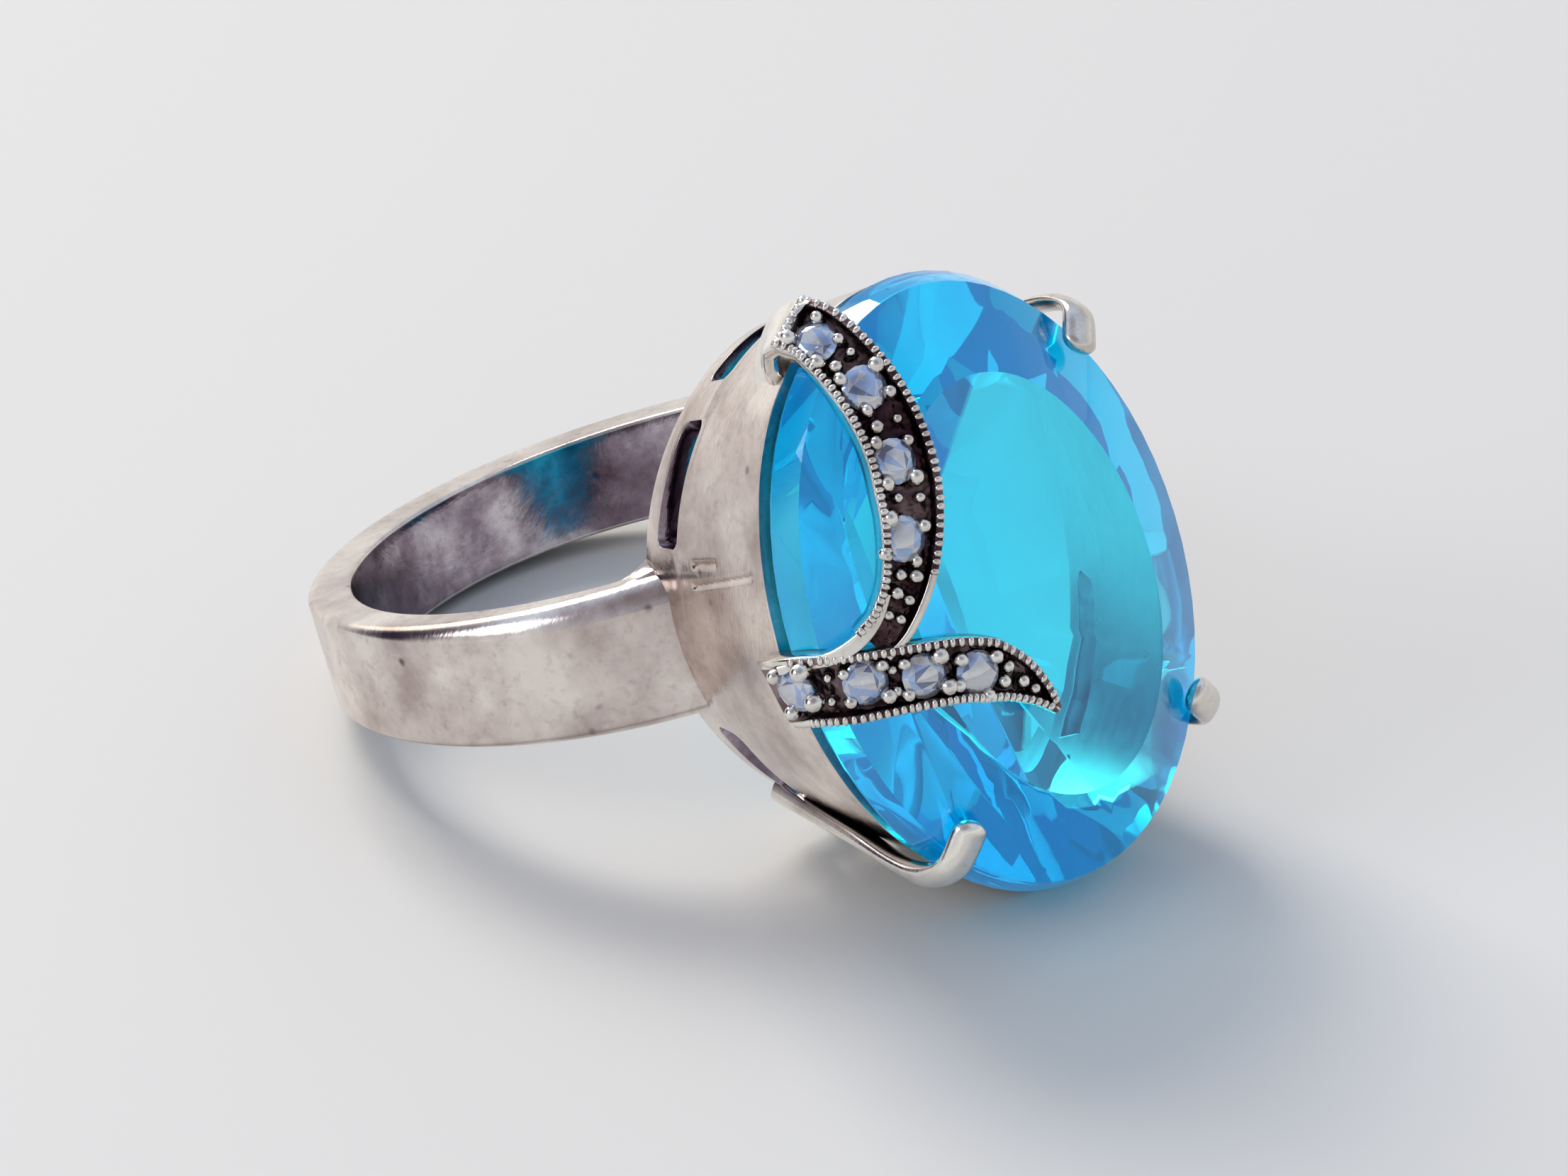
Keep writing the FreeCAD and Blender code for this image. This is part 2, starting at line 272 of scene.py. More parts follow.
def silver(name, light, dull, brown, rough_low, rough_high, pitting):
    """Worn silver: clean metal, a dull film in patches, fine scratches and a few small pits, with painted
    shade in recesses.
    """
    material, n = new_material(name)
    place = n.add("ShaderNodeTexCoord").outputs["Object"]
    patches = n.noise(place, 260.0, 6.0, 0.62)
    fine = n.noise(place, 1500.0, 5.0, 0.7)
    film = n.ramp(patches, [(0.40, light), (0.53, dull), (0.68, brown)])
    speckle = n.noise(place, 2600.0, 4.0, 0.7)
    worn = n.scale(speckle, 0.52, 0.72, 0.0, 0.5)
    film = n.mix(worn, film, (*brown, 1))
    stretched = n.add("ShaderNodeMapping", Vector=place, Scale=(900.0, 9000.0, 2600.0),
                      Rotation=(0.3, 0.5, 0.2)).outputs[0]
    scratches = n.noise(stretched, 1.0, 4.0, 0.6)
    cells = n.add("ShaderNodeTexVoronoi", Vector=place, Scale=900.0, Randomness=1.0)
    pit = n.scale(cells.outputs["Distance"], 0.05, 0.16, 1.0, 0.0)
    sparse = n.scale(patches, 0.5, 0.62, 0.0, pitting)
    pits = n.add("ShaderNodeMath", {"operation": "MULTIPLY"}, i0=pit, i1=sparse).outputs[0]
    height = n.add("ShaderNodeMath", {"operation": "SUBTRACT"}, i0=scratches, i1=pits).outputs[0]
    height = n.add("ShaderNodeMath", {"operation": "MULTIPLY_ADD"}, i0=fine, i1=0.5, i2=height).outputs[0]
    bump = n.add("ShaderNodeBump", Strength=0.08, Distance=0.0001, Height=height).outputs["Normal"]
    rough = n.scale(fine, 0.3, 0.7, rough_low, rough_high)
    # Painted shade: the ambient occlusion node darkens the metal towards dark brown in recesses, creases,
    # under the stone and between parts, where shade falls. The small pits take the same dark colour.
    hollow = n.add("ShaderNodeAmbientOcclusion", {"samples": 8, "only_local": False},
                   Distance=0.0007).outputs["AO"]
    painted_shade_and_pits = n.scale(hollow, 0.75, 0.25, 0.0, 0.85)
    painted_shade_and_pits = n.add("ShaderNodeMath", {"operation": "MAXIMUM"}, i0=painted_shade_and_pits, i1=pits).outputs[0]
    shade_and_pit_colour = (brown[0] * 0.25, brown[1] * 0.22, brown[2] * 0.25, 1)
    film = n.mix(painted_shade_and_pits, film, shade_and_pit_colour)
    shader = n.add("ShaderNodeBsdfPrincipled", Base_Color=film, Metallic=1.0, Roughness=rough, Normal=bump)
    n.add("ShaderNodeOutputMaterial", Surface=shader.outputs[0])
    return material


def gem(name, tint, index, waviness, clear, mirror, body_colour=(1, 1, 1), density=0.0, glow=0.0):
    """Clear cut stone. Density tints light by the depth of stone it goes through, mirror is the share of
    plain mirror on the facets, and glow is the strength of a painted blue glow, an emission that stands for
    light scattered inside the stone."""
    material, n = new_material(name)
    place = n.add("ShaderNodeTexCoord").outputs["Object"]
    cloud = n.noise(place, 120.0, 3.0, 0.5)
    body = n.ramp(cloud, [(0.3, tint), (0.7, tuple(min(c * 1.12 + 0.01, 1) for c in tint))])
    polish = n.noise(place, 420.0, 3.0, 0.5)
    bump = n.add("ShaderNodeBump", Strength=waviness, Distance=0.0001, Height=polish).outputs["Normal"]
    rough = n.scale(polish, 0.3, 0.7, 0.0, 0.02)
    # The emission is painted light: a blue glow that stands for light scattered inside the stone.
    shader = n.add("ShaderNodeBsdfPrincipled", Base_Color=body, Metallic=mirror, Roughness=rough,
                   IOR=index, Transmission_Weight=clear, Normal=bump,
                   Emission_Color=(0.0, 0.46, 1.0, 1), Emission_Strength=glow)
    output = n.add("ShaderNodeOutputMaterial", Surface=shader.outputs[0])
    if density:
        volume = n.add("ShaderNodeVolumeAbsorption", Color=(*body_colour, 1), Density=density)
        n.tree.links.new(volume.outputs[0], output.inputs["Volume"])
    return material


topaz_index = 1.62
brilliant_index = 2.3
bright_silver = silver("bright_silver", (0.86, 0.785, 0.72), (0.67, 0.585, 0.54), (0.43, 0.345, 0.315),
                       0.10, 0.24, 1.0)
# The bore silver is a darker copy of the silver: painted shade and painted dark reflection on the inside of
# the band and on the sides of the wall's slots.
shaded_bore_silver = silver("shaded_bore_silver", (0.58, 0.53, 0.57), (0.27, 0.215, 0.26), (0.11, 0.07, 0.095),
                     0.08, 0.18, 0.4)
cup_silver = silver("cup_silver", (0.97, 0.97, 0.96), (0.92, 0.92, 0.91), (0.80, 0.79, 0.77),
                    0.25, 0.40, 0.0)
rim_silver = silver("rim_silver", (0.86, 0.83, 0.77), (0.76, 0.72, 0.66), (0.52, 0.45, 0.40),
                    0.08, 0.22, 0.2)
dark_silver = silver("dark_silver", (0.30, 0.22, 0.22), (0.085, 0.045, 0.05), (0.03, 0.013, 0.02),
                     0.2, 0.42, 0.6)
# The blue stone glows a little, which is painted light for the light scattered inside it.
blue_gem = gem("blue_gem", (0.10, 0.84, 1.0), topaz_index, 0.01, 0.97, 0.0,
               (0.30, 0.945, 1.0), density=300.0, glow=0.075)
# The blue and dark accent finishes are painted reflections: tinted and darkened copies of the white stone,
# laid on facets at random.
white_gem = gem("white_gem", (0.92, 0.96, 1.0), brilliant_index, 0.0, 0.70, 0.35)
white_gem_painted_blue_reflection = gem("white_gem_painted_blue_reflection", (0.42, 0.58, 0.92), brilliant_index, 0.0, 0.60, 0.45)
white_gem_painted_dark_reflection = gem("white_gem_painted_dark_reflection", (0.16, 0.20, 0.34), brilliant_index, 0.0, 0.50, 0.50)


# ---------------------------------------------------------------- gallery surfaces

def wall_point(turn, share, inset):
    """Point on the wall, at an angle round the oval and a share of the way from base to rim."""
    low = Vector((base_x, base_centre[0] + (base_half[0] - inset) * math.cos(turn),
                  base_centre[1] + (base_half[1] - inset) * math.sin(turn)))
    high = HEAD_IN_BENCH @ Vector((rim_x, (rim_half[0] - inset) * math.cos(turn),
                                   (rim_half[1] - inset) * math.sin(turn)))
    return low.lerp(high, share)


def share_where(turn, inset, half_x, half_y):
    """How far up the wall it leaves an oval bar through the finger hole."""
    low, high = -0.3, 1.0
    for _ in range(40):
        middle = (low + high) / 2
        point = wall_point(turn, middle, inset)
        if (point.x / half_x) ** 2 + (point.y / half_y) ** 2 < 1:
            low = middle
        else:
            high = middle
    return low


def outside_wall(point, inset):
    """Above 1 where a point near the band lies outside the wall."""
    share = (point.x - base_x) / (rim_x - base_x)
    rim_centre = HEAD_IN_BENCH @ Vector((rim_x, 0, 0))
    y = base_centre[0] + (rim_centre.y - base_centre[0]) * share
    z = base_centre[1] + (rim_centre.z - base_centre[1]) * share
    half_y = base_half[0] + (rim_half[0] - base_half[0]) * share - inset
    half_z = base_half[1] + (rim_half[1] - base_half[1]) * share - inset
    return ((point.y - y) / half_y) ** 2 + ((point.z - z) / half_z) ** 2


def slot_open(point):
    """How open a slot is at this place round the wall: 0 outside the slots, 1 well inside."""
    along = abs(point.z - 0.1)
    if abs(point.y) > 3.2:
        gap = min(along - 2.85, 6.25 - along)
    else:
        gap = 2.9 - abs(point.y)
    if gap <= 0:
        return 0.0
    return math.sqrt(1 - (1 - min(gap / 0.35, 1)) ** 2)


def dent(point, start, end, width, depth):
    """Depth of a narrow dent along a line, at a point."""
    along = end - start
    share = min(max((point - start).dot(along) / along.length_squared, 0), 1)
    away = (point - start - along * share).length / width
    return depth * math.exp(-away * away * 2)


def gallery():
    shape = Shape()
    around, foot_rows, slot_rows, wall_rows = 720, 3, 5, 84
    gouges = (((0.919, 0.46), (0.892, 0.90)), ((0.892, 0.48), (0.886, 0.64)))
    rows = foot_rows + slot_rows + wall_rows
    grids, opened = [], []
    for inset in (0.0, wall_thickness):
        grid = []
        for j in range(around):
            turn = 2 * math.pi * j / around
            foot = share_where(turn, inset, *foot_half)
            low = share_where(turn, inset, slot_radii[0], slot_radii[0])
            high = share_where(turn, inset, slot_radii[1], slot_radii[1])
            if inset == 0:
                opened.append(slot_open(wall_point(turn, (low + high) / 2, 0)))
            squeeze = 0.35 + 0.65 * opened[j]
            middle, reach = (low + high) / 2, (high - low) / 2 * squeeze
            low, high = middle - reach, middle + reach
            column = [foot + (low - foot) * i / foot_rows for i in range(foot_rows)]
            column += [low + (high - low) * i / slot_rows for i in range(slot_rows)]
            column += [high + (1 - high) * i / wall_rows for i in range(wall_rows + 1)]
            grid.append([wall_point(turn, share, inset) for share in column])
        grids.append(grid)
    outer, inner = grids
    marks = [[wall_point(math.pi * turn, share, 0) for turn, share in ends] for ends in gouges]
    for j in range(around):
        turn = 2 * math.pi * j / around
        away = Vector((0, math.cos(turn) / base_half[0], math.sin(turn) / base_half[1])).normalized()
        crease = outer[j][0] + (outer[j][rows] - outer[j][0]).normalized() * crease_height
        tall = (crease - outer[j][0]).length
        for i in range(foot_rows + slot_rows, rows + 1):
            rise = (outer[j][i] - outer[j][0]).length / tall
            swell = base_swell * max(1 - rise, 0) + 0.02 * noise.noise(outer[j][i] * 0.7)
            depth = 0.0
            if math.cos(turn) < -0.5:
                depth = sum(dent(outer[j][i], a, b, 0.10, 0.09) for a, b in marks)
            outer[j][i] = outer[j][i] + away * (swell * ease(0, 6, i - foot_rows - slot_rows) - depth)
    verts = [p for grid in (outer, inner) for column in grid for p in column]
    stride, half = rows + 1, around * (rows + 1)
    kept = []
    for j in range(around):
        k = (j + 1) % around
        for i in range(rows):
            in_slot = foot_rows <= i < foot_rows + slot_rows
            if in_slot and opened[j] > 0 and opened[k] > 0:
                continue
            kept.append((j * stride + i, k * stride + i, k * stride + i + 1, j * stride + i + 1))
    faces = kept + [tuple(half + v for v in reversed(face)) for face in kept]
    kinds = [0] * len(kept) + [2] * len(kept)
    edges = {(face[n], face[(n + 1) % 4]) for face in kept for n in range(4)}
    # The side faces of the slot openings take the shaded bore silver, which is painted shade that makes the
    # slots look dark. The rim and foot edges stay bright.
    for a, b in sorted(edges):
        if (b, a) not in edges:
            faces.append((b, a, half + a, half + b))
            level = a % stride
            kinds.append(1 if 0 < level < rows else 0)
    shape.add(verts, faces, kinds)
    used = sorted({v for face in shape.faces for v in face})
    number = {v: n for n, v in enumerate(used)}
    shape.verts = [shape.verts[v] for v in used]
    shape.faces = [[number[v] for v in face] for face in shape.faces]
    piece("gallery", shape, BENCH, [bright_silver, shaded_bore_silver, cup_silver], bevel=0.06)


# ---------------------------------------------------------------- band

def band_section(turn):
    """Closed section of the band, as distance from the finger axis and height, at an angle round it."""
    x = bore_radius * math.cos(turn)
    shoulder = ease(-6, 8, x)
    outer = band_shift * math.cos(turn) + math.sqrt(band_radius ** 2 - (band_shift * math.sin(turn)) ** 2)
    half = band_back_half_width + band_flare * (x + bore_radius)
    flare = web_reach * ease(6.2, 7.6, x)
    edge = bore_edge_round
    low_flare = 0.1 * flare
    thick = outer - bore_radius
    roll_in, roll_down = 0.30 + 0.42 * shoulder, 0.22 + 0.80 * shoulder
    low_in, low_down = 0.26 + 0.1 * shoulder, 0.2 + 0.15 * shoulder
    points = [(bore_radius + edge * (1 - math.cos(math.pi / 2 * s / 5)),
               half + flare - edge + edge * math.sin(math.pi / 2 * s / 5)) for s in range(6)]
    for step in range(1, 13):
        rise = (thick - roll_in - edge) * step / 12 + edge
        spread = flare * max(1 - rise / 0.95, 0) ** 2.0
        points.append((bore_radius + rise, half + spread))
    for step in range(1, 13):
        bend = math.pi / 2 - (math.pi / 2 - 0.3) * step / 12
        reach = roll_in * math.cos(bend) / math.cos(0.3)
        points.append((outer - roll_in + reach, half - roll_down + roll_down * math.sin(bend)))
    for step in range(1, 9):
        top, bottom = half - roll_down * (1 - math.sin(0.3)), -half + low_down
        points.append((outer, top + (bottom - top) * step / 8))
    for step in range(1, 9):
        bend = math.pi / 2 * step / 8
        points.append((outer - low_in + low_in * math.cos(bend),
                       -half + low_down - low_down * math.sin(bend)))
    for step in range(1, 13):
        rise = (thick - low_in) + (edge - thick + low_in) * step / 12
        spread = low_flare * max(1 - rise / 0.95, 0) ** 2.0
        points.append((bore_radius + rise, -half - spread))
    for step in range(1, 6):
        bend = math.pi / 2 * step / 5
        points.append((bore_radius + edge * (1 - math.sin(bend)),
                       -half - low_flare + edge * (1 - math.cos(bend))))
    for step in range(1, bore_points + 1):
        low, high = -half - low_flare + edge, half + flare - edge
        points.append((bore_radius, low + (high - low) * step / 10))
    return points


def band_point(turn, index):
    reach, height = band_section(turn)[index]
    return Vector((reach * math.cos(turn), reach * math.sin(turn), height))


def shank():
    shape = Shape()
    count = len(band_section(math.pi))
    ends = []
    for side in (1, -1):
        row = []
        for index in range(count):
            low, high = math.radians(15), math.radians(75)
            for _ in range(18):
                middle = (low + high) / 2
                if outside_wall(band_point(side * middle, index), 0.4) > 1:
                    high = middle
                else:
                    low = middle
            row.append(low)
        ends.append(row)
    rings = []
    steps = 300
    for step in range(steps + 1):
        share = step / steps
        ring = []
        for index in range(count):
            start, stop = ends[0][index], 2 * math.pi - ends[1][index]
            turn = start + (stop - start) * share
            ring.append(band_point(turn, index))
        rings.append(ring)
    # The bore faces take the shaded bore silver, which is painted shade.
    shape.skin(rings, lambda ring, index: 1 if index >= count - bore_points - 1 else 0)
    piece("shank", shape, BENCH, [bright_silver, shaded_bore_silver], sharp_angle=14)


# ---------------------------------------------------------------- claws

claw_inner = [(6.0, 8.0), (6.75, 10.2), (7.4, 12.4), (7.95, 14.2), (8.12, 15.5), (8.0, 16.4), (7.15, 16.8)]
claw_outer = [(6.75, 7.9), (7.3, 10.0), (7.95, 12.4), (8.6, 14.5), (8.85, 15.8), (8.45, 17.0), (7.3, 17.55)]

claw_half_width = 0.55
claw_tip_length = 0.42
claw_rings, tip_rings = 60, 12


def claw(name, side_y, side_z, around, trim):
    """Strap claw, swept in a plane through the X axis, with softened edges and a rounded tip."""
    closer = [0, 0, 0.2, 0.7, 1, 1, 0.3]
    profile = [(radius - trim * share, height) for (radius, height), share in zip(claw_outer, closer)]
    turn = math.radians(around)
    outward = Vector((0, side_y * rim_half[0] * math.cos(turn),
                      side_z * rim_half[1] * math.sin(turn))).normalized()
    across = Vector((1, 0, 0)).cross(outward)
    lift = Vector((1, 0, 0))
    inner = spline([lift * h + outward * r for r, h in claw_inner], claw_rings)
    outer = spline([lift * h + outward * r for r, h in profile], claw_rings)
    shape, rings, last = Shape(), [], claw_rings - 1
    middles = [(a + b) / 2 for a, b in zip(inner, outer)]
    along = (middles[-1] - middles[-2]).normalized()
    for extra in range(1, tip_rings + 1):
        middles.append(middles[last] + along * claw_tip_length * math.sin(math.pi / 2 * extra / tip_rings))
    for n, middle in enumerate(middles):
        k = min(n, last)
        thick = (outer[k] - inner[k]) / 2
        shrink = 1.0 if n <= last else max(math.cos(math.pi / 2 * (n - last) / tip_rings), 0.02)
        swell = 1.0 - 0.22 * ease(26, 44, n) + 0.22 * ease(46, 58, n)
        ring = []
        for m in range(32):
            angle = 2 * math.pi * m / 32
            c, s = math.cos(angle), math.sin(angle)
            power = 0.6 + 0.4 * ease(22, 44, n)
            wide = math.copysign(abs(c) ** power, c) * claw_half_width * shrink * swell
            deep = math.copysign(abs(s) ** power, s) * shrink
            ring.append(middle + across * wide + thick * deep)
        rings.append(ring)
    shape.skin(rings)
    piece(name, shape, HEAD, [rim_silver], sharp_angle=60)


# ---------------------------------------------------------------- leaves

def over_stone(y, z):
    spread = (y / dome_half[0]) ** 2 + (z / dome_half[1]) ** 2
    return Vector((dome_x + dome_rise * (1 - spread ** 2), y, z))


def outward_at(point):
    rise = max(point.x - girdle_x, 0) / 9.0
    return Vector((rise, point.y / dome_half[0] ** 2, point.z / dome_half[1] ** 2)).normalized()


def stations(points, count):
    """Place, direction along, across and up at even steps along a path."""
    line = spline(points, count)
    out = []
    for n, point in enumerate(line):
        along = (line[min(n + 1, count - 1)] - line[max(n - 1, 0)]).normalized()
        across = along.cross(outward_at(point)).normalized()
        out.append((point, along, across, across.cross(along).normalized()))
    return out


upper_path = [Vector((15.4, -3.03, 9.55))] + [over_stone(*p) for p in (
    (-2.75, 8.95), (-2.7, 7.4), (-2.87, 5.7), (-3.37, 3.9), (-4.15, 2.3), (-5.0, 1.25), (-5.7, 0.75))]
upper_widths = [1.75, 1.9, 2.0, 2.03, 2.05, 1.8, 1.5, 1.35]
sweep_path = [over_stone(*p) for p in ((-4.95, 2.05), (-5.42, 1.45), (-5.95, 1.03), (-6.55, 0.8))] + [
    Vector((16.2, -7.0, 0.77)), Vector((15.5, -7.4, 0.75))]
sweep_widths = [0.34, 0.4, 0.44, 0.4, 0.34, 0.26]
lower_path = [Vector((13.9, -6.85, -0.27)), Vector((14.9, -7.3, -0.1)), Vector((16.1, -7.2, 0.0))] + [
    over_stone(*p) for p in ((-6.43, -0.23), (-5.0, -0.52), (-3.55, -0.96), (-2.5, -1.6), (-1.75, -2.45),
                             (-1.33, -3.26))]
lower_widths = [2.1, 2.15, 2.1, 2.05, 1.95, 1.9, 1.85, 1.2, 0.3]
upper_stones = [over_stone(*p) for p in ((-2.95, 8.9), (-2.73, 7.36), (-3.15, 5.28), (-3.9, 3.24))]
lower_stones = [Vector((15.8, -7.44, 0.1))] + [over_stone(*p) for p in (
    (-6.13, -0.2), (-4.78, -0.6), (-3.33, -1.18))]
leaf_depth, rim_width, recess = 0.7, 0.24, 0.34
milgrain_pitch = 0.235
plain_length = 2.4
lower_plain_start = 2.1
beaded_both_sides = 0
side_of_sweep = -1


def flatten(offset, up):
    """An offset without its part along the up direction."""
    return offset - up * offset.dot(up)


def leaf(path, widths, stones, plain_start, trimmed_end, plain_side):
    """Trough with raised rims, milgrain along both, and grains round the stones on a rough dark floor.

    The milgrain starts after plain_start, and stops plain_length before the end on the plain side."""
    shape = Shape()
    count = 260
    end_rim = 0.36 if plain_start else 0.22
    places = stations(path, count)
    length = path_length([p[0] for p in places])
    rings = []
    for n, (point, along, across, up) in enumerate(places):
        share = n / (count - 1)
        gone = share * length
        half = between(widths, share) / 2
        deep = recess * ease(end_rim, end_rim + 0.12, gone)
        if trimmed_end:
            deep *= ease(0.1, 0.35, length - gone)
        inner = max(half - rim_width, 0.03)
        floor_half = min(inner, 5) * 0.93
        profile = [(-half + 0.05, -leaf_depth), (-half, -leaf_depth + 0.06), (-half, -0.3), (-half, -0.09),
                   (-half + 0.03, -0.02), (-half + 0.09, 0.0), (-inner - 0.02, 0.0), (-inner + 0.01, -0.03)]
        profile += [(-floor_half, -deep)]
        for step in range(1, 24):
            profile.append((-floor_half + 2 * floor_half * step / 24, -deep))
        profile += [(floor_half, -deep), (inner - 0.01, -0.03), (inner + 0.02, 0.0), (half - 0.09, 0.0),
                    (half - 0.03, -0.02), (half, -0.09), (half, -0.3), (half, -leaf_depth + 0.06),
                    (half - 0.05, -leaf_depth)]
        ring = []
        for k, (side, height) in enumerate(profile):
            spot = point + across * side + up * height
            if 8 <= k <= 32 and deep > 0.02:
                rough = noise.fractal(spot * 2.6, 0.6, 2.0, 4)
                spot = spot + up * (0.07 * rough)
                reach = min((flatten(spot - stone, up)).length for stone in stones)
                spot = spot - up * (0.26 * (1 - ease(0.50, 0.62, reach)))
            ring.append(spot)
        rings.append(ring)

    def finish_at(ring, index):
        """Dark floor and dark gaps between the milgrain beads, and bright metal elsewhere."""
        gone = length * ring / (count - 1)
        at_end = gone < end_rim or (trimmed_end and gone > length - 0.3)
        if 7 <= index <= 32:
            return 0 if at_end else 1
        plain = gone < plain_start or (index < 20 and plain_side and gone > length - plain_length)
        return 0 if plain or index not in (4, 5, 6, 33, 34, 35) else 1

    shape.skin(rings, finish_at)
    beads = int(length / milgrain_pitch)
    for n in range(beads):
        gone = (n + 0.5) * milgrain_pitch
        if plain_start and gone < plain_start:
            continue
        share = gone / length
        place = places[min(int(share * (count - 1) + 0.5), count - 1)]
        point, along, across, up = place
        half = between(widths, share) / 2
        for side in (-1, 1):
            if side == plain_side and gone > length - plain_length:
                continue
            size = 1 + chance.uniform(-0.1, 0.1)
            lift = -0.005 + chance.uniform(-0.012, 0.012)
            at = point + across * side * max(half - 0.13, 0.02) + up * lift
            axes = (along * 0.104 * size, across * 0.15, up * 0.105 * size)
            shape.bead(at, axes, 0)
    if not plain_start:
        point, along, across, up = places[0]
        half = widths[0] / 2
        steps = int((widths[0] - 0.2) / milgrain_pitch)
        for n in range(steps + 1):
            side = -half + 0.16 + (2 * half - 0.32) * n / steps
            at = point + along * 0.13 + across * side
            shape.bead(at, (across * 0.1, along * 0.14, up * 0.085), 0)
    add_grains(shape, places, length, widths, stones)
    return shape


def nearest(places, spot):
    return min(range(len(places)), key=lambda n: (places[n][0] - spot).length)


def add_grains(shape, places, length, widths, stones):
    """Grains pushed up round each stone, and smaller ones in the gaps between them."""
    count = len(places)
    marks = [nearest(places, stone) for stone in stones]
    for stone, mark in zip(stones, marks):
        point, along, across, up = places[mark]
        for quarter in range(4):
            angle = math.radians(45 + 90 * quarter + chance.uniform(-14, 14))
            reach = 0.70 + chance.uniform(-0.03, 0.05)
            size = chance.uniform(0.19, 0.29)
            side = reach * math.sin(angle)
            limit = between(widths, mark / (count - 1)) / 2 - 0.3
            side = min(max(side, -limit), limit)
            at = stone + along * reach * math.cos(angle) + across * side - up * 0.16
            shape.bead(at, (along * size * 1.05, across * size, up * (size + 0.07)), 0, 12, 8)
    order = sorted(marks)
    gaps = list(zip(order, order[1:])) + [(order[-1], count - 1)]
    for low, high in gaps:
        span = (high - low) * length / (count - 1)
        free = span - 1.32
        if free < 0.35:
            continue
        rows = max(int(free / 0.55), 1)
        for row in range(rows):
            share_low = low + (0.66 + free * (row + 0.5) / rows) / length * (count - 1)
            at_place = min(int(share_low), count - 6)
            point, along, across, up = places[at_place]
            half = between(widths, at_place / (count - 1)) / 2 - 0.34
            for side in ((-0.45, 0.45) if half > 0.35 else (0.0,)):
                size = chance.uniform(0.15, 0.23)
                at = point + across * side * half * 1.1 + along * chance.uniform(-0.06, 0.06) - up * 0.2
                shape.bead(at, (along * size, across * size * 1.1, up * (size + 0.06)), 0, 12, 8)


def leaves():
    upper = leaf(upper_path, upper_widths, upper_stones, 0.0, False, side_of_sweep)
    bar(upper, sweep_path, sweep_widths, 0.06, leaf_depth, 90)
    piece("upper_leaf", upper, HEAD, [rim_silver, dark_silver], sharp_angle=50)
    lower = leaf(lower_path, lower_widths, lower_stones, lower_plain_start, True, beaded_both_sides)
    piece("lower_leaf", lower, HEAD, [rim_silver, dark_silver], sharp_angle=50)


def bar(shape, path, widths, crown, depth, count):
    """Plain rounded bar along a path, with its top a little above it."""
    rings = []
    for n, (point, _, across, up) in enumerate(stations(path, count)):
        half = between(widths, n / (count - 1)) / 2
        ring = []
        for m in range(24):
            angle = 2 * math.pi * m / 24
            c, s = math.cos(angle), math.sin(angle)
            wide = math.copysign(abs(c) ** 0.45, c) * half
            if s > 0:
                ring.append(point + across * wide + up * (crown * s))
            else:
                ring.append(point + across * wide + up * (-depth * abs(s) ** 0.5))
        rings.append(ring)
    shape.skin(rings)


def strap():
    """Plain hook from the top end of the upper leaf down to the wall."""
    path = [Vector(p) for p in ((15.5, -3.0, 9.4), (15.3, -3.03, 9.5), (14.35, -3.05, 9.2),
                                (13.65, -3.1, 8.45), (13.35, -3.15, 7.6), (13.3, -3.2, 6.9))]
    shape, rings = Shape(), []
    for point, _, across, up in stations(path, 80):
        ring = []
        for m in range(32):
            angle = 2 * math.pi * m / 32
            c, s = math.cos(angle), math.sin(angle)
            wide = math.copysign(abs(c) ** 0.3, c) * 0.875
            deep = math.copysign(abs(s) ** 0.5, s) * 0.25
            ring.append(point + across * wide + up * (deep - 0.25))
        rings.append(ring)
    shape.skin(rings)
    piece("upper_leaf_strap", shape, HEAD, [rim_silver], sharp_angle=60)


# ---------------------------------------------------------------- stones

def meet(planes):
    """Point where three planes, each a point and a normal, meet."""
    rows = Matrix([list(normal) for point, normal in planes])
    return rows.inverted() @ Vector([point.dot(normal) for point, normal in planes])


def facet_tier(start_x, start_half, end_x, end_half, tip_share, count):
    """Kite facets between two ovals: points on the second oval, and where kites meet."""
    edge, end, normals = [], [], []
    for k in range(count):
        turn = 2 * math.pi * (k + 0.5) / count
        c, s = math.cos(turn), math.sin(turn)
        a = Vector((start_x, start_half[0] * c, start_half[1] * s))
        b = Vector((end_x, end_half[0] * c, end_half[1] * s))
        flow = Vector((0, -start_half[0] * s, start_half[1] * c))
        edge.append(a)
        end.append(b)
        normals.append(flow.cross(b - a).normalized())
    level = Vector((start_x + (end_x - start_x) * tip_share, 0, 0))
    tips = []
    for k in range(count):
        j = (k + 1) % count
        tips.append(meet([(edge[k], normals[k]), (edge[j], normals[j]), (level, Vector((1, 0, 0)))]))
    return end, tips


